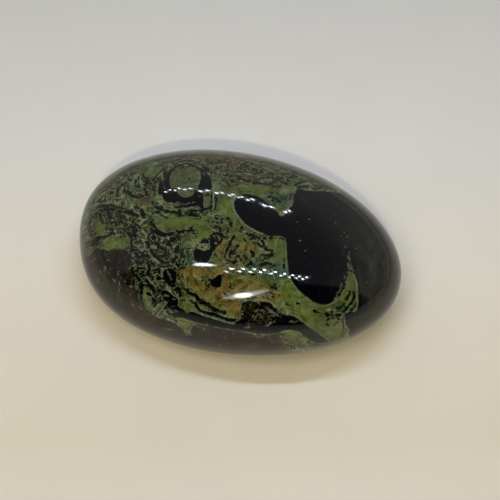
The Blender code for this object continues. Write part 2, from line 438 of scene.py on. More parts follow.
INK = strokes("""
2.0 117,196 116.5,192 117,188.5 119,186.5 121.5,185 124.5,183.5
1.6 124,184.5 126.5,186 129,187
3.0 123.5,190.5 127,191.5 130,193.5
3.0 129.5,194 133,195.5 137,197
2.2 137,194 139.5,194.5 142,196
2.2 138.5,191.5 140,190
1.6 133,185.5 134.5,185.5
1.2 134,188 135,189
1.2 135,193 136,193.5
1.6 109.5,185.5 111,187.5 113,188
1.4 100,189 103,187.5 106,185.5
1.4 100,193 102,191 105,190
2.4 109.5,192.5 112.5,192.5
2.0 97.5,201.5 101,201 105,200
2.2 99,205 103,205 107,205.5 111,204.8 113.5,205.8
3.0 104,208.5 109,208.5 114,209
1.6 115,207 120,207.5 124,208.5 128,209
2.8 118,210.5 124,211.5 130,212.5 134,213.5 137,215.5
1.6 131,213 133,216 133,219.5 132,222
2.4 98.5,213 100.5,216 101.2,219 102.5,222
2.2 108,211 108.5,215 109.5,218.5 108.5,220.5 107,222.5
3.0 109.2,215.5 109.6,217.5
1.6 90,219.5 90.3,221
1.6 90,225.5 88.5,228 88.3,231 90,234 92.5,235.5
1.2 106.5,227 106,229.5
2.2 109,229 111.5,229 113,230.5 112,232.5
3.0 112,231.5 109,234.5 106,236 101,236.8 97,237 93.5,238.5
2.4 100,237.5 97,240.5 93,241.5
1.6 85.5,243.5 88,242.5 91,241
1.8 86,246.5 90,245 93.5,243.5 97,243.5
1.6 90.5,245.5 94,245.5 97,244
1.2 82.5,249.5 84,248
1.4 114,233 114.5,234
1.8 115,222 116.5,225 118,225.5
1.6 117,229 117,231.5
1.8 117,217 118,215 121,214.5
2.0 121,221 122.8,222.3
1.2 118.5,222 118,219 120,216.5 123,216.5 125.5,218.5
1.8 125,218.5 126.5,220
1.8 130.5,225.5 131,227.5
2.2 127,226.5 128,229
1.6 132.5,231.5 133.5,229
2.0 133.2,218 133.5,219.5
1.6 136,223.5 138.5,226.5 140,228
2.4 135,206.8 136.5,207
1.8 138,207.5 138.8,208
3.2>4.4>3.0 141,210.5 142.3,214 143.3,216.5
1.2 122,203 122,205.5
1.4 128,178 130,180
2.0 115.5,182 118,180.8
1.2 120.5,183 122,183
2.0 142.5,173.5 143.5,176 146,178.5 149.5,179.8 152.5,179.5
2.2>1.8 152.5,179.5 154.5,177.5 157.5,174 160,171
1.8>1.0 160,171 162.5,169 166,167.5 168.5,166.5
1.4 161.5,163 162.5,163.2
1.2 162,165.5 164,165.5
3.0 145,180.5 147,181.5 144.5,185
1.6 157.5,178.5 160,179 160,183 158.5,187
1.4 150,182.5 148.5,185.5 150,188.5 153,189
1.4 153,186.5 153.5,189.5
2.4 165.5,170.5 164.5,174 164.5,177
1.4 136.5,164.5 137.5,165
1.4 136.8,167.5 137.5,168
1.6 127,176 131,174 136,172.5
1.4 114,179 116,177
1.4 121.5,171.5 124,170.5
2.4 151,201.5 154,205 158,208 162,209.5 168,210.5
1.6 153,183 157,181
2.6 144,189 146,192 147,195
6.5>6.0>4.5>2.6>2.0 166.8,188.5 166,182 167,177 169,172 172.5,168.3 176.5,165.8
1.2>1.6>3.0 176,166.5 180,164.3 186,163.4 192,164.5 197,167 200.5,170.5
1.0 176,162.8 182,160.7 188,160 194,160.9
2.0 171,188.3 176,189
1.4 188.3,176.3 188.7,178.7
2.0 156,211.5 159,212.5 161,215 164,217 167,217.5
2.4>1.6>2.4 170,212 173,211.5 176,213 180,215 184.5,215 186,212 189,210.5 194,210.3 200,209.8 206,208.5 210,207
2.8 179.5,210 179.5,213.5
1.6 211,192 211,200 210.5,207
1.6 215.3,194 215.5,202 214.5,209
1.4 173,204.5 176,206.5 181,206.3
1.8 163,209 161,206
1.8 153,210.8 152.5,213
2.2 148,224.5 149,221.5
2.4 150.5,222.5 153,224.5 155,226.5 156,228
2.2 170,238.5 174,238 177,239.8
2.2 177.5,236.5 178.5,237.5
1.6 179,238.5 179.5,240
2.6 177,230.5 180.5,232 184,230.5
2.4 187,230.7 190,229.8 193.5,229.3
1.6 187,226.5 190,227 193,225.3
3.0 146.5,242 148.5,245
1.8 148.5,234 150,234.2
1.6 154,243.2 157,243.5 159,243.8
1.8 163,246.3 164,246
4.0 167.5,243.3 169.5,244
2.6 160.5,248 162.5,248.2
2.8 165,252 164,254.5 161.5,256
2.0 165,257.3 167,258.7
3.6>3.8>1.4 151,251 153,254 155,256.3 157,258.2 159.5,259.7
3.0 135.5,253 137.5,256 140,257 142,255 142.5,252.5
2.4 142.5,254.5 146,255 149,257.5
4.0 136,261 139,262.5 143,262
3.0 143,262 143.5,258.5 143,256.5
3.0 146,262.5 149,266 148.5,270 147,274
2.0 150.5,275 152,277
2.2 146.5,273.5 149,275
3.4 172.5,261.5 174.5,259 176,257
2.8 161,261.2 162.5,260.8
2.2 161,266 166,266.6 169,264.8 172,266.3 175,268.5
1.8 179,259.5 179.3,261.5
2.0 183.2,251.5 183.5,254 184.3,257.5
1.6 181,263.5 182.5,265.5
1.6 178,252.5 180.5,249.5
2.0 195,247 196,247.3
1.4 196,236 196.5,237.5
4.0 202.3,241.3 204.5,240.6 206.8,241.5
2.6 210,236.5 212,234.2 215,233.2 218,232.8 220.5,234.5 222,237.5 220.5,240.5 218,242.5
2.0 215.5,236.5 217,239.5 214,240.3 212,239
4.0 211,238 211.3,242 212.5,245.5 212,249
2.4 213,245.5 216,245 219,242.5
2.2 216.5,221.5 217,222.5
2.6 220.5,221.8 222,222.2
1.4 220,220 222,218
1.8 215,225.8 218.5,226.2 220,228
2.2 227,217.8 228.3,218.5
2.2 228,220 230,222.5 231,225
1.4 226.5,227 227.5,229.5 227,232
1.4 219,229 219.5,231
2.8 233.5,235.5 232,238.5 230,241 228.7,244.5
2.0 228.7,244.5 227.5,248 226,251 225,254.5 224,256.5
2.4 231,249.5 230,252 229,255.5
2.2 238,245 236,247.5 233.5,250
2.0 239,230.8 240,231.5
1.6 240.8,225.8 241.5,228 243.5,229
2.2 246,233 248.5,234 251,233.8 253.5,235.5
2.0 250.5,238.3 252.5,238
2.0 253,242 254,242.7
2.6 244,238.5 245,240.8
1.6 256.5,236 258.5,238
1.8>2.6>2.2 261,239.5 263,242.5 264.2,246 265.5,249 268,249.7 272,250
1.8 258,243.5 260,245.5 262,247
3.2 267,255 270.5,254 271,253.5
2.0 269,256 272,255.5
2.2 250,251 252.5,252 253,254.5 252,256
2.0 236.5,256 238.5,255.8
1.8 235.5,259 235.3,261 237,262
1.8 240,258.5 240.5,261
2.0 245.5,257.5 248,258.5 250,261.5 250,263
2.4 246,265 247.5,265.8
1.6 252,264 253,265.5
1.6 243.5,255 244.5,256.5
2.6>1.4 262,263.5 266,262.5 270,263.5 273.5,265 276,266.5
1.4 259,265 262,264
1.8 278.5,251.5 280.5,253
2.0 283.5,259 283.3,263 283.5,267
1.4 279,237.5 283,239
2.4 270,237.3 272,235.8
1.6 270,193 273,192.5 277,193
1.6 268,197 271,196 273,198.5 271.5,201
1.4 274,197.5 277,200 280,202
1.6 281,195 282,197.5 284,199.5
1.6 290.5,194 290,197 289,200
2.4 243,179 246,180.5 250,180.3
2.2 253,182.8 257,182.5 262,183.5 266,184.2 270,183.5 273,181.5
1.8 259,179.5 261,177.5 265,177 270,176.5 274,178.5 278,180.3
2.0 269,172.5 271,173.5 273,174.5
1.8 272,185 276,186.3 280,186
1.6 244,163.5 247,161.5 250,161.3 252,163.5
1.8 245,165.3 247.5,165
1.6 252,168 255,168.5
1.4 252,169.5 256,170
2.0 260.5,164.8 263,165
2.0 261.5,170 263.5,170
1.6 239.5,169 241.5,168.5
2.6 238,176 240,177.5 238,179
1.6 236,181.5 238,182
1.4 236,170 239,171
1.8 207,163.3 212,163 217,163.5
1.8 207,167.5 209,168
1.6 215,166.5 216,168
2.0 280.5,176.5 283,177.5
2.6 281.5,181.5 284,182.5 286,183.3
1.4 281.5,172.5 283,173.5
1.6 290,177.5 293,174.5 294,170
2.2>1.2 294.5,185 298,182.8 303,181.3 310,180.7 317,181
1.8 298,187 303,186.2 308,185.7
2.6 306,185.7 308.5,185.7
1.8 312,187.5 313.5,188.5
2.0>1.0 318,185.3 324,186 330,187.5
1.8 346.5,273 345,277 343.5,281 342,284.5
3.0 343.5,284 342,287.5 340,291 338,294.5
1.4 348,269.8 350,270.5 352.5,271.5
1.6 350,253.5 350.5,256
1.6 351,260 352,264
2.2 349.5,291 348.5,294.5 346.5,298.5 345.5,299.5
2.4 353.3,292 353.5,297 351.5,301.5 349,304.5 346,307.5 343,311
1.6 355.5,303 354,306 352.5,308 350,310
2.0 344,303 341.5,305.5 339.5,307
2.2 337,307.3 338,307.8
2.0 330.5,311 331.5,312
1.4 330,314.5 332,315.3
2.6 326,313 327.5,315
1.6 326,319.5 328,319
1.6 326.5,324 328.5,324.5
1.6 313,310 316,311.5 320,312
1.4 322,313.5 325,313
1.8 224,292.5 227.5,296 228.5,299
1.6 270.5,286 273,287.5 276,288
1.4 272,285.5 275,284.8
2.2 286,303.5 289,304.5
1.6 296.5,303 298,303.5
2.2 213,308 217,309.5 221,311.5 224,313
2.6>3.0>1.6 213,313.5 219,316 224,318 230,319.7 235,319.5
3.0 187,290.5 190,293 192.5,294.5
4.0>5.0>3.0 195,295 198,298.5 200.5,301 204,302.5 208,303.5
2.2 208,305.5 212,307 216,309
2.4 195,302.5 196,306 199,309.5 203,311.5 207,312.5 213,313.5
2.0>3.0 184,288 187,290
2.6 190.5,300 191.8,301.5
1.8 182,300.5 184,299.5
2.0 179,290 180,295
2.8 175.5,289 178,288 179,292
1.8 187,277.5 187,282
2.4 178,274 178.5,275
2.4 182,275 182.3,276.5
1.6 201.5,276.5 203,277
2.2 211,280 208.5,279.7 206.5,281 205.5,284 207.5,286 209,284.5
3.5 146,280.5 149,283 152,287.5 154,291
2.6 143,284.5 147,285.5
2.0 157,286.5 158.5,289.5
3.0 142,286 140.8,291 140.8,298
2.6 131.5,268 132,271 134.5,274.5 137,277.5 139.5,279.5
2.0 134,279.5 133,283
2.2 142,281 140.5,285 140.5,290
2.4 135.5,270.5 137,270.5
2.2 159,272 157.5,269.5
2.0 160,284 162,287
2.0 147,310 150.5,312.5
""")

PALE = strokes("""
1.4 101,189 104,188 106,187
1.2 102,192 106,190.5 110,188.5 113,190
1.2 95,201 97.5,197 100,194 104,192.5 108,192.5 112,194.5
1.6 90,206 95,204 100,203 105,203 110,202.5
1.6 133,200 131.5,204 130.5,207
1.8 134,211 137,213 139,215.5 140,218.5 143,219
1.2 131,188 131.5,186 134,187.5 134,190 136,191
1.6 139.5,180 141,184 143,188 143.5,193 142.5,195
2.4 121.5,195.5 123,196
1.6 115.5,186 115,190 115.5,194
1.4 110,235 107.5,238 104,240.5
1.2 98,242.5 93,246.5 88,247.5
1.2 148,163.8 150.5,163.2 153.5,162.3
1.0 146,167.5 147,169.5
1.4>1.0 158,176 162,172 166,168.5 169.5,164.5
1.4 158,178.5 157.3,184 157,190 157.2,196 159.3,201.5 162.3,206 166,208.3 171,209.3 176,209
0.9 174,162.2 180,160.2 186,158.6 193,158.3 199,160.2 204,163.5
0.9 178,163 184,161.9 190,162 196,163.8 201,166.5
1.4 165,178 164.6,183 164.4,188.5
1.4 213.3,176.5 213.5,183 213.2,189
1.2 212.8,194 213,201 212.5,208
3.0 199.3,195.3 199.8,195.8
2.2 195.2,208.2 195.6,208.6
1.2 176,201.8 183,203.7 189,203 194,201.5
2.0 182,207.5 185,208.5
1.6 188,207.5 192,206.7
1.2 203,172.5 204.5,174.5
1.8 148,249.5 150.3,254 153.5,257.5 157,260.8 160,262
1.6 143.5,256.5 144.5,261 146,264.5 147,268 149.3,272.5
3.2 153.5,246 154.8,247.3
2.4 171,251 173,247.5 175.5,244.5
1.4 137,252.5 138,255 139.5,254.5
1.6 141.8,249 142.2,249.4
2.0 143.2,231.5 143.6,232
2.0 144,210.5 144.5,212
1.8 149,212 151,214 154,214.5
2.2 165.5,214.5 167,214
1.4 155.8,213.5 156,215
1.8 167.5,236.8 168.2,238
1.4 213.5,242.8 216,242.5 217.5,241.5
1.8 214,236 215.5,237.5
1.3 204.4,239.8 207.8,241.2 209,244.8 207.8,248.6 204.4,250 201,248.6 199.8,245 201,241.3 204.4,239.8
1.4 234,241 232.5,244.5 231,247.5
1.8 228,250 227,253 226.5,256
1.8 228.5,234 230.5,236.5
1.6 220,224.5 223.5,223.8
2.0 243.5,231 245.5,231.8
2.4 259.5,248.5 262,248.8
1.6 259,241.5 261,243.5
2.0 237.3,259.3 237.7,261.5
1.8 222.5,261 224,261.5
1.4 250,252.5 250.5,254
1.4 266,251.5 270,251.8
1.4 296,188.5 294,192.5 292.8,198 291.5,203 289.5,207.5
1.0 297,185 303,183.5 311,182.9 320,183.5 327,185
1.6 303,187.7 306,189.3 310,188.5
1.6 264,179.5 268,179.3 272,180
1.4 260.5,180.5 262,181
1.4 284,171.5 287,172 289.5,170.5
1.2 265,196.5 268.5,199 271,202 
1.2 234.5,198 232.8,203 233.3,208 235.5,213 239.5,218.5 244.5,224
1.4 244.5,224 250,228 256.5,231 263.5,234
1.2 346,272.5 343,279 341,285 338.5,291 336,296 334,299
1.2 354.5,275 356.3,282 357,290 357,298 356.5,305
1.2 343,312 341.5,317 341,322 341,327
1.4 345,325.5 347.5,329 347.5,334
1.4 353,311 356,310 357,307
1.6 350,309 346,312
1.8 326.5,310 329,309.3
1.4 334,309 333.5,313
2.4>1.4 257,315 254.5,317.5 252,320.3
2.4 256,310 260,309.3 264,310.5
1.4 267,308 271,311 276,314.5 279.5,316
2.2 268,325 270,322.5
3.2 245,327.5 248.5,326
1.6 259.7,314 260.8,316
1.4 268,316 268.5,318.5
1.8 257.5,302 258.5,303.5
1.4 290,321 296,321.5
1.4>1.0 191,309 196,309.5 200,312.5 204,315 208,316.3 213,317.5 218,318.8 224,320.5 230,322.3 234,323.5
1.6>1.2 197,303 201,307 205,309.8 210,311.3 216,312.8 223,315 230,316.8 237,317.5
1.6>1.2 189.5,295 192.5,297.5 195,300 197.5,303.5
1.4 183,290 187,291
1.4 194,275.5 198,277.5 200.5,279.5
1.4 207.3,281.5 207,284
1.8>1.4 167.5,271.3 170,275.5 171,280 172,283.5
1.8 152.5,304.5 151.8,307 153.5,308.7 155.5,307.5
1.8 162.5,268.5 164,268.8
2.0 173,264 175.5,266.5
2.2>1.4 147,277 149.5,281 153,284.5 157,288.5
1.6 143,281.5 143.8,283
1.8 164.5,294.5 167,295.5
1.6 165,301 166.5,302.5
1.6 173,305.8 174,305.4
1.8 173.5,298.4 175.5,298.6
2.0 164.8,309.5 165.5,310
2.4 171.2,311.3 171.8,312
1.8 175.3,310.2 175.8,310.8
1.6 168,309 168.5,310.5
1.4 149,311 153.5,314 158,316.5 161,318
1.6>1.2 166,318.7 172,320.3 177,323.8 182,327.5 186.5,331.5
2.0 162,267.8 163.5,268.3
1.4 169,288.5 174,290.5 176.8,294.5
2.2>1.6 118.5,283 119,287 118.3,291.5 117,296 117.2,300 118,303.5
1.6>1.0 118,303.5 120,307.5 122.5,311 124.5,314.5 128,318 132,321.5 137,324.5 142,326.5
1.4 113.5,279 114.5,282
1.6 120.5,276.5 123,279 124.5,281
1.4 99.5,279 102,281 101.5,283.5 99.5,285.5 97.5,283.5 97.2,281 99.5,279
1.6 104.5,277.5 106,278.5
1.6 104.7,266.5 105,268.5
1.4 110,267 110,268.5
1.2 108,271 108.5,272.5
1.6 104.7,253 105.2,255
1.2 108,253 109.5,252.3
1.6 91.5,261 92.3,260.5
1.2 94.5,259 96,258
1.2 99.5,269.5 100.5,271
1.2 116.5,268 118,270 117.5,274
1.1 104.5,270 104.8,273.5
1.2 127,264 127.5,265
1.0 107,259.5 108.5,259.5
1.4 132,302.5 132,304.5
1.4 130.5,305.8 133,306
1.6 139.5,306 140.3,306.6
1.4 141.5,308.8 142.5,309.4
1.2 130,285.5 131,286.3
1.8 141,317 142.5,317.6
1.2 129,294 129.5,297
1.2 165,328.7 169,328.7 172.5,330
2.0 202.5,327 204.5,329.5
1.8 188.5,331.5 190.5,334.5
1.8 195.5,325.5 197,326
1.6 205.5,323.5 206,325
1.0 218,345 225,342.5 233,343
0.9 344.3,246 345.2,246.6
0.9 354.8,247.8 355.6,248.4
0.9 343.5,254 344,255.5
0.8 359,243.5 360,245
1.0 302.9,198 303.6,198.5
0.7 304.8,201.3 305.2,202
1.0 308.6,218.3 309.6,219
0.9 334.5,221.8 336,222.6
0.8 342.8,231 343.6,232
0.9 347,235 346.3,237.5
0.8 326.8,267.5 327.6,267.8
0.7 340.5,235.5 342,235.8
0.6 366,282 367.5,282
0.5 296.5,221.5 296.8,222.2
0.5 293,256 293.3,256.5
0.5 299,240 299.3,240.5
0.5 310,262 310.3,262.4
0.5 305,250 305.3,250.5
0.5 318,243 318.3,243.4
0.5 322,205 322.4,205.3
""")

# broad soft areas, drawn as wide strokes: where the filigree rests, and the tints
CALM = strokes("""
9 190,270 200,273 212,272
7 228,276 240,280 256,282
6 220,285 232,300 236,306
12 234,240 246,246 256,250
8 222,242 218,256
9 352,285 353,298 347,308
9 316,318 330,326 338,334
10 186,274 196,284 206,292
16 222,194 226,206 230,218 236,228 241,235
9 236,189 250,188.5 264,189.5 278,189.5 290,187
8 275,240 281,246 282,258 282,270 284,280 290,289 298,296 306,303 316,308 326,309 336,304 344,296 350,285 350,272
14 282,300 292,306 302,312 312,320 322,328 333,333 341,335
26 184,177 185,177
10 185,191 186,191
10 207,203 207,204
13 150,171 154,170
10 98,222 100,229 103,229
8 106,243 114,244 122,242
13 184,322 188,326
9 186,300 187,308
9 160,221 172,222 184,221 196,224 203,228 200,236 192,238 186,242
8 297,184 310,182 325,184
9 286,197 285,204 281,210 274,201
14 240,281 252,283 264,284
12 200,292 212,298 224,303 232,310
8 146,291 146,299 149,307
11 290,336 300,339
""")
BUSY = strokes("""
34 132,232 142,246 152,262 160,282 168,300
26 150,238 165,248 172,258
22 136,262 142,282
20 128,222 140,226
14 215,240 222,250
12 250,316 266,318
15 136,286 150,298 164,306 176,310
10 96,214 112,218 124,226
""")


def tint(text):
    """The sum, up to 1, of soft round spots: "x,y,radius in mm" in view, with ",b" behind."""
    out = np.zeros(len(U))
    for word in text.split():
        bits = word.split(",")
        out = np.maximum(out, glow(float(bits[0]) + 0.5, float(bits[1]) + 0.5, float(bits[2]), len(bits) > 3))
    return out


lay = np.clip(union(orb, dark_band, umber, eye_disc, area(EYE_BELOW, reach=6), kidney, swirl), -2.0, 6.0)
tints = {
    "teal": tint("272,199,3.0 284,201,2.6 250,270,3.0 262,267,3.0 276,270,3.0 286,272,2.4 240,275,1.8 252,275,1.8 264,274,2.0 276,275,2.0 332,314,2.0 186,262,2.4 184,254,2.0 150,186,2.0 340,307,1.8 108,290,2.0"),
    "ochre": tint("186,277,3.2 196,285,3.6 208,293,3.6 220,299,3.4 232,308,2.6 216,272,2.4 238,284,3.4 252,284,3.0 264,296,2.8 276,296,2.2 248,245,3.0 238,250,2.6 228,258,2.4 222,244,2.4 238,262,2.4 242,305,2.0 226,240,2.0"),
    "gold": tint("186,274,2.4 196,272,2.4 206,290,3.0 196,284,2.6 222,300,2.6 232,296,2.2 262,292,2.6 274,294,2.0 246,288,2.6 258,298,2.0 234,284,1.8 224,252,1.4 246,246,2.0 254,250,1.6 240,256,1.6"),
    "rust": tint("225,272,1.1 224,279,1.3 225,286,1.8 232,289,1.6 229,278,1.2 198,271,1.5 192,271,1.0 233,307,0.9 203,272,1.0 260,333,0.9 261,337,0.6 241,306,0.9 248,248,1.0 230,252,1.0 218,254,0.9 104,196,1.0 266,297,1.2 184,279,1.2"),
    "brown": tint("210,156,3.2 222,160,3.0 232,160,3.0 229,168,2.2 246,176,2.0 254,178,1.8 264,181,2.0 276,180,2.0 292,172,2.6 304,175,2.0 310,177,1.6 112,196,1.2 139,202,1.6 190,155,3.0 175,157,2.2 150,158,2.5 130,165,2.4 104,183,2.6 112,180,1.6 250,156,3.0 270,164,2.2 146,202,1.6"),
    "ash": tint("222,178,3.4 226,186,2.4 218,170,2.4 230,174,2.6 236,178,1.8 147,198,1.6 126,189,1.8 110,209,1.4 128,196,1.6 94,192,2.6 88,210,2.6 84,228,2.2 142,168,1.6 135,216,1.8 137,222,1.8 140,240,2.4 160,238,1.8 145,212,1.2"),
    "lime": tint("102,226,2.6 110,243,2.8 120,243,2.2 145,206,2.0 178,220,3.4 196,222,3.4 200,234,2.6 226,206,2.6 230,214,2.4 250,189,2.6 262,190,2.4 290,188,2.0 272,242,2.8 280,252,2.4 290,292,2.8 300,304,3.0 312,318,2.6 335,330,3.2 348,284,2.6 346,296,2.0 184,321,2.6 187,304,2.0 140,269,2.0 157,276,2.4 136,284,1.4 155,268,2.0 167,203,1.2 232,314,1.8 146,300,1.6 292,334,2.0 178,255,2.0"),
}

RUST = strokes("""
4.5>6.0>3.0 223.5,267 224.5,275 225,281 226,286
4.0>2.0 226,285 230,289 234,291
3.0 213,283 218,287 223,291
5.0 190,269.5 197,271.5 204,270
2.4 181,272 184,277 188,281
2.4 260,330 261,337
2.6 100,195 106,194.5
3.0 231,304.5 238,308.5
1.6 240.5,302 241,309
2.4 246,246.5 253,249.5
1.6 216.5,261 220,252 222,247 224,241
1.6 228,255 231,249 233,243
2.4 262,295.5 268,298
1.8 206,276 210,274
1.8 218,292 222,296
1.6 244,299 254,300 262,300
""")
VESICLE = tint("244,311,2.2 250,310,2.4 257,311,2.8 266,313,2.8 275,316,2.0 262,321,2.2 252,320,2.2")
# painted reflection: a paler, greyer tone along the upper and left rim, where the polish mirrors the pale room
PAINTED_RIM_SHEEN = tint("112,177,3.2 97,194,3.0 88,211,2.6 84,228,2.4 130,163,3.2 150,157,3.0 172,153,2.8 195,152,2.8 218,153,2.8 243,156,2.8 104,184,3.0 120,170,3.0 88,236,2.0")

# the far side and the ends past the drawing: more orbs, with rims like those in front
far_orbs = union(blob(150, 190, 30, 24, 20, far=True, reach=6), blob(215, 285, 26, 19, -10, far=True, reach=6),
                 blob(262, 188, 15, 12, 0, far=True, reach=6), blob(120, 250, 14, 11, 30, far=True, reach=6),
                 blob(300, 240, 22, 30, 15, far=True, reach=6))
black = union(black, far_orbs)
lay = np.minimum(lay, np.clip(far_orbs, -2.0, 6.0))
drawn = smooth(0.20, 0.42, U @ FACING)

# ---- the mesh becomes a piece -----------------------------------------------------------
def put(name, values):
    attribute = MESH.attributes.new(name, "FLOAT", "POINT")
    attribute.data.foreach_set("value", np.asarray(values, np.float32))


put("black", black)
put("orb", orb)
put("umber", umber)
put("ink", INK)
put("pale", PALE)
put("calm", smooth(1.2, -0.8, CALM))
put("busy", smooth(2.0, -1.0, BUSY))
put("lay", lay)
put("eye", union(eye_disc, eye_low, eye_small))
put("drawn", drawn)
put("streak", RUST)
put("vesicle", VESICLE)
put("painted_rim_sheen", PAINTED_RIM_SHEEN)
for name, values in tints.items():
    put(name, values)

STONE = bpy.data.objects.new("polished_pebble", MESH)
bpy.context.scene.collection.objects.link(STONE)


# ---- material ----------------------------------------------------------------------------
def linear(r, g, b):
    def one(c):
        c /= 255.0
        return c / 12.92 if c <= 0.04045 else ((c + 0.055) / 1.055) ** 2.4
    return (one(r), one(g), one(b), 1.0)


material = bpy.data.materials.new("polished_jasper")
material.use_nodes = True
nt = material.node_tree
bsdf = nt.nodes["Principled BSDF"]


def node(kind, **settings):
    n = nt.nodes.new(kind)
    for key, value in settings.items():
        setattr(n, key, value)
    return n


def feed(socket, value):
    if isinstance(value, bpy.types.NodeSocket):
        nt.links.new(value, socket)
    else:
        socket.default_value = value


def attr(name):
    return node("ShaderNodeAttribute", attribute_name=name).outputs["Fac"]


def calc(op, a, b=0.0, c=0.0, clamp=False):
    n = node("ShaderNodeMath", operation=op, use_clamp=clamp)
    for socket, value in zip(n.inputs, (a, b, c)):
        feed(socket, value)
    return n.outputs[0]


def vec(op, a, b=(0, 0, 0), scale=None):
    n = node("ShaderNodeVectorMath", operation=op)
    feed(n.inputs[0], a)
    if scale is None:
        feed(n.inputs[1], b)
    else:
        feed(n.inputs["Scale"], scale)
    return n.outputs["Value"] if op in ("DOT_PRODUCT", "LENGTH") else n.outputs["Vector"]


def noise(at, scale, detail=1.0, rough=0.5, w=None, colour=False):
    n = node("ShaderNodeTexNoise", noise_dimensions="4D" if w is not None else "3D")
    feed(n.inputs["Vector"], at)
    if w is not None:
        feed(n.inputs["W"], w)
    n.inputs["Scale"].default_value = scale
    n.inputs["Detail"].default_value = detail
    n.inputs["Roughness"].default_value = rough
    return n.outputs["Color" if colour else "Fac"]


def mix(fac, a, b, kind="MIX"):
    n = node("ShaderNodeMix", data_type="RGBA", blend_type=kind)
    feed(n.inputs["Factor"], fac)
    feed(n.inputs[6], a)
    feed(n.inputs[7], b)
    return n.outputs[2]


def ramp(value, stops, kind="LINEAR"):
    n = node("ShaderNodeValToRGB")
    n.color_ramp.interpolation = kind
    while len(n.color_ramp.elements) < len(stops):
        n.color_ramp.elements.new(0.5)
    for element, (pos, colour) in zip(n.color_ramp.elements, stops):
        element.position = pos
        element.color = colour if not isinstance(colour, (int, float)) else (colour, colour, colour, 1)
    feed(n.inputs["Fac"], value)
    return n.outputs["Color"]


def span(value, a, b, c=0.0, d=1.0, kind="SMOOTHSTEP"):
    n = node("ShaderNodeMapRange", interpolation_type=kind)
    feed(n.inputs["Value"], value)
    for key, v in zip(("From Min", "From Max", "To Min", "To Max"), (a, b, c, d)):
        n.inputs[key].default_value = v
    return n.outputs["Result"]


coords = node("ShaderNodeTexCoord").outputs["Object"]
MM = vec("SCALE", coords, scale=1000.0)                  # millimetres in the stone

def seen(r, g, b):
    """The stone's own colour where it looks r, g, b under this light and its polish."""
    return tuple(max(c - 0.008, 0.0004) / k for c, k in zip(linear(r, g, b)[:3], (1.08, 1.08, 0.90))) + (1.0,)


def push(at, scale, amount, detail=1.0):
    """at, moved about by noise: amount is in mm."""
    shift = vec("SUBTRACT", noise(at, scale, detail, colour=True), (0.5, 0.5, 0.5))
    return vec("ADD", at, vec("SCALE", shift, scale=amount * 2))


def wobble(scale, amount, detail=2.0):
    return calc("MULTIPLY", calc("SUBTRACT", noise(MM, scale, detail), 0.5), amount)


def add(*parts):
    total = parts[0]
    for part in parts[1:]:
        total = calc("ADD", total, part)
    return total


def times(*parts):
    total = parts[0]
    for part in parts[1:]:
        total = calc("MULTIPLY", total, part)
    return total


def inverse(value):
    return calc("SUBTRACT", 1.0, value, clamp=True)


def lines(value, levels, width):
    """1 on the lines where value crosses a level, 0 off them."""
    stops = [(0.0, 0.0)]
    for level in levels:
        stops += [(level - width, 0.0), (level - width * 0.35, 1.0), (level + width * 0.35, 1.0), (level + width, 0.0)]
    return ramp(value, stops)


drawn_here = attr("drawn")
unseen = calc("SUBTRACT", 1.0, drawn_here, clamp=True)
calm = attr("calm")
busy = attr("busy")
eye = attr("eye")
lay_mm = attr("lay")
calm = calc("MAXIMUM", calm, times(unseen, span(add(lay_mm, times(wobble(0.5, 1.0), 2.0)), 2.6, 1.6)))

bent = push(push(MM, 0.10, 5.0), 0.42, 1.1)                 # how the flow of the stone bends
fine = push(vec("MULTIPLY", bent, (0.78, 1.10, 1.10)), 1.5, 0.30)
high = wobble(2.6, 1.0)
low = wobble(0.85, 1.0)
low_b = wobble(0.60, 1.0, 1.0)

black_mm = add(attr("black"), times(high, 0.20), times(low, 0.15), times(attr("vesicle"), high, 2.2), times(attr("vesicle"), wobble(1.3, 1.0), 1.2))
umber_mm = add(attr("umber"), times(high, 0.5), times(low, 0.9))
ink_mm = add(attr("ink"), times(high, 0.95), times(low, 0.55))
pale_mm = add(attr("pale"), times(high, 0.95), times(low_b, 0.55))

# green ground: broad drifts of tone, then clouding, then fine grain
broad = noise(bent, 0.16, 2.0)
cloud = noise(fine, 0.75, 3.0, 0.6)
grain = noise(MM, 4.5, 2.0, 0.6)
green = ramp(cloud, [(0.30, seen(44, 52, 30)), (0.42, seen(68, 78, 43)), (0.52, seen(88, 99, 58)), (0.62, seen(110, 120, 76)), (0.74, seen(134, 140, 102))])
green = mix(span(broad, 0.40, 0.62), green, ramp(cloud, [(0.3, seen(52, 56, 28)), (0.7, seen(88, 94, 50))]))

for name, lower, upper, strength in (
        ("lime", seen(68, 80, 32), seen(104, 114, 58), 0.75), ("teal", seen(36, 52, 36), seen(66, 90, 66), 0.75),
        ("ochre", seen(58, 54, 22), seen(124, 119, 64), 0.90), ("brown", seen(40, 33, 24), seen(84, 70, 50), 0.85),
        ("ash", seen(38, 40, 30), seen(78, 80, 62), 0.55)):
    amount = span(add(attr(name), times(low, 0.5)), 0.12, 0.75, 0.0, strength)
    green = mix(amount, green, ramp(cloud, [(0.3, lower), (0.7, upper)]))
for scale, lower, upper in ((0.085, seen(54, 48, 18), seen(104, 98, 46)), (0.11, seen(36, 52, 36), seen(66, 90, 66)),
                            (0.15, seen(44, 36, 26), seen(88, 72, 50))):
    amount = times(unseen, span(add(noise(MM, scale, 2.0), times(low, 0.10)), 0.56, 0.66, 0.0, 0.85))
    green = mix(amount, green, ramp(cloud, [(0.3, lower), (0.7, upper)]))
amount = times(span(add(attr("gold"), times(low, 0.7)), 0.30, 0.90), span(noise(fine, 0.9, 3.0, 0.65), 0.40, 0.62), 0.38)
green = mix(amount, green, ramp(cloud, [(0.35, seen(84, 66, 20)), (0.65, seen(126, 108, 46))]))
amount = span(add(attr("streak"), times(high, 0.7), times(low, 0.7)), 0.40, -0.40)
amount = times(amount, span(noise(fine, 0.8, 3.0, 0.60), 0.28, 0.56))
green = mix(times(amount, 0.72), green, ramp(noise(MM, 2.2, 2.0), [(0.35, seen(88, 54, 20)), (0.65, seen(150, 98, 46))]))
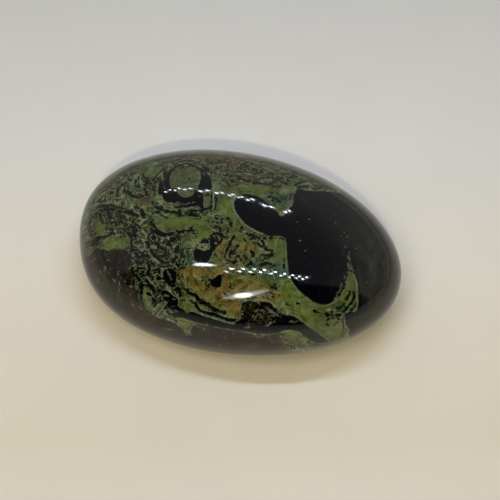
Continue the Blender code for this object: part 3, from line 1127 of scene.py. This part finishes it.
mottling = times(span(noise(fine, 0.62, 3.0, 0.62), 0.50, 0.64), add(0.50, times(attr("ochre"), 0.40)), inverse(times(calm, inverse(attr("ochre")), 0.6)))
green = mix(mottling, green, mix(span(attr("ochre"), 0.2, 0.7), seen(46, 53, 26), seen(50, 42, 16)))
green = mix(span(eye, 0.10, -0.10, 0.0, 0.85), green, ramp(cloud, [(0.3, seen(54, 61, 37)), (0.7, seen(90, 97, 62))]))

# filigree: blots and threads on two folded fields, thick where the stone is busy
fold = times(lay_mm, 0.22)
flow = push(vec("MULTIPLY", bent, (0.80, 1.12, 1.10)), 0.85, 0.42)
web = noise(flow, 0.66, 1.6, 0.50, w=fold)
web_b = noise(flow, 1.30, 1.0, 0.5)
drift = times(calc("SUBTRACT", noise(MM, 0.16, 2.0), 0.5), 0.34)
# the painted rim reflection also thins the filigree along the upper and left rim
cover = add(times(attr("painted_rim_sheen"), -0.06), times(attr("ash"), -0.05), times(attr("brown"), -0.05), times(busy, 0.070), times(calm, -0.24), times(unseen, drift, 1.2), times(unseen, 0.030), drift)
thick = add(web, cover)
thin = add(web_b, times(cover, 0.9))
outer = span(add(thick, times(calm, -0.1)), 0.490, 0.545)
stone = mix(times(outer, 0.60), green, seen(40, 45, 26))
no_ring = inverse(span(calm, 0.02, 0.30, 0.0, 0.85))
stone = mix(times(lines(thick, (0.504,), 0.022), no_ring, 0.85), stone, seen(128, 137, 92))
stone = mix(times(lines(thin, (0.500,), 0.022), no_ring, 0.55), stone, seen(116, 124, 84))
stone = mix(times(lines(thick, (0.432, 0.466), 0.011), span(add(busy, unseen), 0.0, 0.5, 0.25, 0.85)), stone, seen(24, 28, 16))
stone = mix(times(span(thin, 0.580, 0.612), 0.85), stone, seen(17, 20, 13))
stone = mix(span(thick, 0.550, 0.580), stone, seen(13, 16, 11))
stone = mix(times(lines(thick, (0.628,), 0.026), 0.90), stone, seen(100, 110, 70))
# painted reflection: a paler, greyer veil along the upper and left rim
stone = mix(times(span(add(attr("painted_rim_sheen"), times(low, 0.8)), 0.25, 0.9), 0.60), stone,
            ramp(cloud, [(0.35, seen(62, 62, 44)), (0.65, seen(132, 124, 98))]))
stone = mix(times(span(add(attr("brown"), times(low, 0.6)), 0.15, 0.8), 0.35), stone, ramp(cloud, [(0.35, seen(52, 42, 30)), (0.65, seen(104, 84, 60))]))
rings = calc("SINE", times(add(eye, times(low, 0.25)), 9.0))
stone = mix(times(span(rings, 0.2, 1.0), span(eye, -0.1, -0.3, 0.0, 0.42)), stone, seen(42, 48, 30))

# thin layers that follow the bodies' outlines
layers = times(add(lay_mm, times(low, 0.7), times(high, 0.25)), 1.75)
wave = calc("SINE", times(layers, 6.2832))
layered = times(span(wave, 0.15, 0.95), span(lay_mm, 2.6, 0.5), span(noise(MM, 0.6, 2.0), 0.44, 0.60), inverse(span(eye, 0.3, -0.1)))
stone = mix(times(layered, 0.60), stone, seen(30, 34, 22))
stone = mix(times(span(wave, -0.35, -1.0), span(lay_mm, 1.6, 0.2), 0.22), stone, seen(112, 120, 90))

# umber ground low on the left
umber_far = ramp(noise(bent, 0.5, 3.0, 0.6), [(0.30, seen(20, 18, 16)), (0.48, seen(31, 28, 23)), (0.62, seen(44, 40, 30)), (0.78, seen(60, 55, 40))])
umber_cover = span(umber_mm, 0.10, -0.10)
umber_tone = mix(span(vec("DOT_PRODUCT", MM, (0.9781, 0.2079, 0.0)), -12.0, 2.0), umber_far,
                 ramp(noise(bent, 0.35, 3.0, 0.6), [(0.34, seen(24, 18, 14)), (0.50, seen(40, 31, 22)), (0.60, seen(58, 50, 28)), (0.74, seen(74, 60, 40))]))
stone = mix(times(span(calc("ABSOLUTE", umber_mm), 0.42, 0.05), 0.55), stone, seen(20, 22, 16))
stone = mix(umber_cover, stone, umber_tone)
pale_on_umber = times(umber_cover, add(0.25, times(span(noise(MM, 1.7, 2.0), 0.56, 0.44), 0.65)))
flecks = times(span(noise(push(MM, 0.6, 0.9), 1.5, 3.0, 0.7), 0.63, 0.70), umber_cover)
stone = mix(times(flecks, 0.70), stone, seen(96, 90, 64))

# black bodies: a broken pale rim, then the body, with dust and a slaty end
rim = times(span(calc("ABSOLUTE", calc("SUBTRACT", black_mm, 0.22)), 0.16, 0.02), span(noise(MM, 0.55, 2.0), 0.40, 0.62))
stone = mix(times(rim, 0.55), stone, seen(112, 118, 88))
stone = mix(span(calc("ABSOLUTE", calc("SUBTRACT", black_mm, 0.04)), 0.14, 0.0, 0.0, 0.7), stone, seen(24, 28, 18))
deep = ramp(noise(bent, 0.35, 3.0, 0.6), [(0.3, (0.0004, 0.0005, 0.0009, 1)), (0.6, (0.0009, 0.0010, 0.0014, 1)), (0.8, (0.0028, 0.0028, 0.0028, 1))])
along = vec("DOT_PRODUCT", MM, (0.9781, 0.2079, 0.0))
slaty = times(span(add(along, times(low_b, 9.0)), 17.0, 26.0), span(attr("orb"), 0.0, -1.0))
streaks = noise(vec("MULTIPLY", bent, (1.0, 0.35, 0.35)), 0.55, 3.0, 0.6)
deep = mix(slaty, deep, ramp(streaks, [(0.3, seen(26, 25, 22)), (0.5, seen(38, 37, 31)), (0.7, seen(54, 52, 42))]))
dust = times(span(noise(MM, 2.4, 1.0), 0.735, 0.765), 0.30)
deep = mix(dust, deep, seen(80, 80, 70))
vesicle = span(add(attr("vesicle"), times(low, 0.8)), 0.30, 0.85)
deep = mix(vesicle, deep, ramp(noise(push(MM, 1.0, 0.4), 1.7, 3.0, 0.65), [
    (0.36, seen(8, 8, 6)), (0.47, seen(20, 18, 10)), (0.54, seen(52, 48, 28)), (0.60, seen(26, 24, 14)), (0.70, seen(112, 106, 80))]))
black_cover = span(black_mm, 0.06, -0.06)

# the drawn strokes: a dark bloom around each, then a broken pale edge, then the stroke
bloom = times(span(ink_mm, 0.75, 0.0), inverse(times(calm, 0.5)))
stone = mix(times(bloom, 0.38), stone, seen(32, 37, 20))
halo = times(span(calc("ABSOLUTE", calc("SUBTRACT", ink_mm, 0.20)), 0.12, 0.0), span(noise(MM, 0.9, 1.0), 0.42, 0.60))
stone = mix(times(halo, 0.50), stone, seen(116, 124, 86))
stone = mix(times(span(pale_mm, 0.12, -0.08, 0.0, 0.75), inverse(pale_on_umber)), stone, ramp(cloud, [(0.3, seen(84, 90, 62)), (0.7, seen(134, 138, 108))]))
warmth = span(add(attr("ochre"), times(low, 0.5)), 0.2, 0.8)
stone = mix(span(ink_mm, 0.17, -0.04, 0.0, 0.85), stone, mix(warmth, seen(32, 37, 20), seen(46, 38, 16)))
stone = mix(span(ink_mm, 0.03, -0.14, 0.0, 0.95), stone, mix(warmth, seen(11, 13, 10), seen(20, 16, 8)))
stone = mix(black_cover, stone, deep)
veins = times(span(pale_mm, 0.10, -0.08), black_cover)
stone = mix(times(veins, 0.70), stone, ramp(cloud, [(0.3, seen(62, 62, 44)), (0.7, seen(112, 112, 84))]))
feed(bsdf.inputs["Base Color"], mix(span(grain, 0.62, 0.38, 0.0, 0.30), stone, (0.50, 0.50, 0.50, 1), "MULTIPLY"))

# the polish: glassy all over, a touch duller on the pale veins and in tiny pits
pits = span(noise(MM, 3.2, 2.0), 0.70, 0.76)
gloss = add(times(noise(MM, 0.8, 3.0), 0.02), 0.045)
gloss = add(gloss, times(pits, 0.10), span(pale_mm, 0.05, -0.05, 0.0, 0.03))
ground_flat = times(span(vec("DOT_PRODUCT", MM, (0.0, 0.0, 1.0)), 0.20, 0.02), 0.10)
feed(bsdf.inputs["Roughness"], add(gloss, ground_flat))
bsdf.inputs["IOR"].default_value = 1.54
bump = node("ShaderNodeBump")
bump.inputs["Strength"].default_value = 0.03
bump.inputs["Distance"].default_value = 0.00002
feed(bump.inputs["Height"], calc("SUBTRACT", times(noise(MM, 1.3, 2.0), 0.4), times(pits, 0.5)))
feed(bsdf.inputs["Normal"], bump.outputs["Normal"])
MESH.materials.append(material)

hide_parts("pebble")
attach(STONE, "root")

# ---- floor ---------------------------------------------------------------------------------
FORWARD = np.array([-math.sin(VIEW_AZ), math.cos(VIEW_AZ), 0.0])      # away from the camera, level
HEART_FLOOR = HEART * [1, 1, 0]


def scene_object(name, mesh):
    obj = bpy.data.objects.new(name, mesh)
    bpy.context.scene.collection.objects.link(obj)
    return obj


floor_mesh = bpy.data.meshes.new("floor")
floor_mesh.from_pydata([(-3, -3, 0), (3, -3, 0), (3, 3, 0), (-3, 3, 0)], [], [(0, 1, 2, 3)])
floor = scene_object("floor", floor_mesh)
floor_material = bpy.data.materials.new("pale_floor")
floor_material.use_nodes = True
floor_mesh.materials.append(floor_material)

nt = floor_material.node_tree
place = node("ShaderNodeTexCoord").outputs["Object"]
depth = vec("DOT_PRODUCT", place, tuple(FORWARD))
# painted light: the warm-to-cool drift from front to back stands in for warm light from the front and cool light from
# behind, and the darker, warmer stop at 0.25 is a painted warm shade on the floor just in front of the stone
tone = ramp(span(depth, -0.075, 0.085, 0.0, 1.0, "LINEAR"), [
    (0.0, (0.670, 0.640, 0.590, 1)), (0.25, (0.665, 0.605, 0.480, 1)), (0.50, (0.720, 0.675, 0.580, 1)),
    (0.75, (0.696, 0.686, 0.660, 1)), (1.0, (0.660, 0.660, 0.650, 1))])
mottle = noise(place, 60.0, 2.0)
tone = mix(0.05, tone, ramp(mottle, [(0.35, 0.5), (0.65, 0.85)]), "MULTIPLY")
floor_bsdf = nt.nodes["Principled BSDF"]
feed(floor_bsdf.inputs["Base Color"], tone)
floor_bsdf.inputs["Roughness"].default_value = 0.85
floor_bsdf.inputs["Specular IOR Level"].default_value = 0.2

# ---- light: soft boxes that the stone's polish doesn't mirror ---------------------------------
def soft_box(name, offset, size, power, colour, toward=(0, 0, 0.008)):
    """offset is (right, away from the camera, up) from the stone's middle on the floor."""
    data = bpy.data.lights.new(name, "AREA")
    data.shape = "RECTANGLE"
    data.size, data.size_y = size
    data.energy = power
    data.color = colour
    light = scene_object(name, data)
    at = HEART_FLOOR + RIGHT * offset[0] + FORWARD * offset[1] + np.array([0, 0, offset[2]])
    look = at - (HEART_FLOOR + np.array(toward))
    z = unit(look)
    x = unit(RIGHT - z * (RIGHT @ z))
    y = np.cross(z, x)
    light.matrix_world = Matrix.Translation(Vector(at)) @ Matrix((x, y, z)).transposed().to_4x4()
    light.visible_camera = False
    light.visible_glossy = False
    return light


soft_box("overhead_row", (0.016, -0.042, 0.25), (0.14, 0.012), 0.27, (0.60, 0.74, 1.0))
soft_box("front_lamp", (-0.01, -1.08, 1.05), (0.02, 0.02), 5.6, (1.0, 0.86, 0.45))
soft_box("front_fill", (-0.10, -0.55, 0.80), (0.5, 0.4), 5.2, (1.0, 0.92, 0.80))


# ---- what the polish mirrors: two rows of small lamps, and one soft lamp in front --------------
def glow_panel(name, verts, faces, strength_of):
    mesh = bpy.data.meshes.new(name)
    mesh.from_pydata([tuple(v) for v in verts], [], faces)
    obj = scene_object(name, mesh)
    mat = bpy.data.materials.new(name)
    mat.use_nodes = True
    tree = mat.node_tree
    tree.nodes.remove(tree.nodes["Principled BSDF"])
    emission = tree.nodes.new("ShaderNodeEmission")
    tree.links.new(emission.outputs[0], tree.nodes["Material Output"].inputs["Surface"])
    strength_of(mat, emission)
    mesh.materials.append(mat)
    obj.visible_camera = False
    obj.visible_diffuse = False
    obj.visible_shadow = False
    obj.visible_transmission = False
    return obj


def lamp_row(name, spots, radius, colour, strength):
    verts, faces = [], []
    for right, away, up in spots:
        c = HEART_FLOOR + RIGHT * right + FORWARD * away + np.array([0, 0, up])
        first = len(verts)
        for k in range(12):
            a = 2 * math.pi * k / 12
            verts.append(c + RIGHT * radius * math.cos(a) + FORWARD * radius * math.sin(a))
        faces.append(tuple(range(first, first + 12))[::-1])

    def settings(mat, emission):
        emission.inputs["Color"].default_value = colour
        emission.inputs["Strength"].default_value = strength

    return glow_panel(name, verts, faces, settings)


def mirrored_at(x, y, up=0.25):
    """Where a lamp hangs, up metres above the table, that the polish shows at a view point."""
    p, n = polished(on_stone([(x + 0.5, y + 0.5)]))
    d = unit(p - EYE)
    r = d - 2 * (d * n).sum(-1, keepdims=True) * n
    at = (p + r * ((up - p[:, 2:]) / r[:, 2:]))[0] - HEART_FLOOR
    return at @ RIGHT, at @ FORWARD, up


near_row = [mirrored_at(x, y) for x, y in (
    (231, 268.3), (243, 268.4), (254, 268.7), (264, 269.5), (275, 271.5), (284, 273.5), (292, 274.7), (299, 276), (306, 276.8),
    (226, 271.2), (239, 271), (250, 271.3), (260, 271.7), (271, 273), (280.5, 275.2), (289, 276.8), (296, 277.7), (302.5, 278.5))]
back_row = [mirrored_at(x, y) for x, y in (
    (165, 191.5), (175, 190), (184, 189), (200, 190.5), (216, 192.5), (229, 195), (238, 197), (247.5, 199.5), (264, 205), (285, 211.5),
    (169.5, 189.5), (178.5, 188), (190, 188), (207, 190), (222, 192.5), (232.5, 194), (241.5, 196.5), (252, 199), (271, 206.5), (289, 210.5))]
lamp_row("near_row_lamps", near_row, 0.0019, (0.86, 0.93, 1.0, 1), 100.0)
lamp_row("back_row_lamps", back_row, 0.0018, (0.88, 0.95, 1.0, 1), 90.0)

# the left end of the near row runs out into a soft smear
def smear_glow(mat, emission):
    global nt
    nt = mat.node_tree
    at = vec("SUBTRACT", node("ShaderNodeTexCoord").outputs["Object"], tuple(smear))
    across = calc("DIVIDE", vec("DOT_PRODUCT", at, tuple(RIGHT * 0.97 + FORWARD * 0.24)), 0.030)
    along = calc("DIVIDE", vec("DOT_PRODUCT", at, tuple(FORWARD * 0.97 - RIGHT * 0.24)), 0.0065)
    round_ = calc("ADD", calc("POWER", across, 2.0), calc("POWER", along, 2.0))
    emission.inputs["Color"].default_value = (0.95, 0.97, 1.0, 1)
    feed(emission.inputs["Strength"], calc("MULTIPLY", span(round_, 1.0, 0.1), 36.0))


smear = HEART_FLOOR + FORWARD * -0.0290 + RIGHT * -0.086 + np.array([0, 0, 0.25])
glow_panel("row_smear",
           [smear + RIGHT * a * 0.034 + FORWARD * b * 0.014 for a, b in ((-1, -1), (-1, 1), (1, 1), (1, -1))],
           [(0, 1, 2, 3)], smear_glow)

lamp_half = 0.12
corner = HEART_FLOOR + FORWARD * -0.150 + RIGHT * -0.052 + np.array([0, 0, 0.25])


def front_glow(mat, emission):
    global nt
    nt = mat.node_tree
    at = node("ShaderNodeTexCoord").outputs["Object"]
    across = vec("DOT_PRODUCT", vec("SUBTRACT", at, tuple(corner)), tuple(RIGHT))
    along = vec("DOT_PRODUCT", vec("SUBTRACT", at, tuple(corner)), tuple(FORWARD))
    # a bright core, and a dimmer veil drawn out on the slant
    slant_a = calc("ADD", calc("MULTIPLY", across, 0.78), calc("MULTIPLY", along, 0.63))
    slant_b = calc("SUBTRACT", calc("MULTIPLY", across, 0.63), calc("MULTIPLY", along, 0.78))
    halo = calc("ADD", calc("POWER", calc("DIVIDE", slant_a, 0.095), 2.0), calc("POWER", calc("DIVIDE", slant_b, 0.040), 2.0))
    core = calc("ADD", calc("POWER", calc("DIVIDE", slant_a, 0.030), 2.0), calc("POWER", calc("DIVIDE", slant_b, 0.013), 2.0))
    veil = calc("ADD", calc("POWER", calc("DIVIDE", slant_a, 0.090), 2.0), calc("POWER", calc("DIVIDE", slant_b, 0.014), 2.0))
    power = calc("ADD", calc("MULTIPLY", span(core, 1.2, 0.3), 26.0), calc("MULTIPLY", span(veil, 1.0, 0.0), 6.5))
    power = calc("ADD", power, calc("MULTIPLY", span(halo, 1.0, 0.0), 1.1))
    emission.inputs["Color"].default_value = (1.0, 0.97, 0.90, 1)
    feed(emission.inputs["Strength"], power)


glow_panel("front_glow",
           [corner + RIGHT * a * lamp_half + FORWARD * b * lamp_half for a, b in ((-1, -1), (-1, 1), (1, 1), (1, -1))],
           [(0, 1, 2, 3)], front_glow)

# ---- a pale backdrop, lit from behind, that stands round the floor -----------------------------
BACKDROP_RADIUS, BACKDROP_HEIGHT, BACKDROP_SIDES = 2.9, 0.60, 96
ring = [(BACKDROP_RADIUS * math.cos(2 * math.pi * k / BACKDROP_SIDES), BACKDROP_RADIUS * math.sin(2 * math.pi * k / BACKDROP_SIDES))
        for k in range(BACKDROP_SIDES)]
backdrop_mesh = bpy.data.meshes.new("backdrop")
backdrop_mesh.from_pydata([(x, y, z) for z in (0.0, BACKDROP_HEIGHT) for x, y in ring], [],
                          [(k, k + BACKDROP_SIDES, (k + 1) % BACKDROP_SIDES + BACKDROP_SIDES, (k + 1) % BACKDROP_SIDES)
                           for k in range(BACKDROP_SIDES)])
backdrop = scene_object("backdrop", backdrop_mesh)
backdrop_material = bpy.data.materials.new("pale_backdrop")
backdrop_material.use_nodes = True
nt = backdrop_material.node_tree
nt.nodes.remove(nt.nodes["Principled BSDF"])
shine = node("ShaderNodeEmission")
nt.links.new(shine.outputs[0], nt.nodes["Material Output"].inputs["Surface"])
up_wall = vec("DOT_PRODUCT", node("ShaderNodeTexCoord").outputs["Object"], (0.0, 0.0, 1.0))
feed(shine.inputs["Color"], ramp(span(up_wall, 0.0, BACKDROP_HEIGHT, 0.0, 1.0, "LINEAR"), [
    (0.0, (0.42, 0.40, 0.37, 1)), (0.35, (0.37, 0.36, 0.34, 1)), (1.0, (0.20, 0.20, 0.195, 1))]))
backdrop_mesh.materials.append(backdrop_material)

# ---- the room around: dim, darker toward the camera, paler behind the stone and at its sides ---
world = bpy.data.worlds.new("room")
bpy.context.scene.world = world
world.use_nodes = True
nt = world.node_tree
way = node("ShaderNodeTexCoord").outputs["Generated"]
front = vec("DOT_PRODUCT", way, tuple(-FORWARD))
side = calc("ABSOLUTE", vec("DOT_PRODUCT", way, tuple(RIGHT)))
height = node("ShaderNodeSeparateXYZ")
feed(height.inputs[0], way)
height = height.outputs["Z"]
dark_a = span(calc("SUBTRACT", front, calc("MULTIPLY", height, 0.19)), -0.03, 0.03)
dark_b = span(calc("SUBTRACT", front, calc("MULTIPLY", side, 0.25)), -0.03, 0.05)
dark_room = calc("MULTIPLY", dark_a, dark_b)
room = ramp(height, [(0.0, (0.25, 0.25, 0.24, 1)), (0.30, (0.28, 0.28, 0.27, 1)), (0.57, (0.30, 0.30, 0.295, 1)),
                     (0.72, (0.22, 0.22, 0.225, 1)), (0.85, (0.15, 0.15, 0.16, 1)), (1.0, (0.10, 0.105, 0.115, 1))])
room = mix(dark_room, room, (0.010, 0.012, 0.020, 1))
feed(nt.nodes["Background"].inputs["Color"], room)
nt.nodes["Background"].inputs["Strength"].default_value = 1.0

bpy.context.scene.view_settings.view_transform = "Standard"
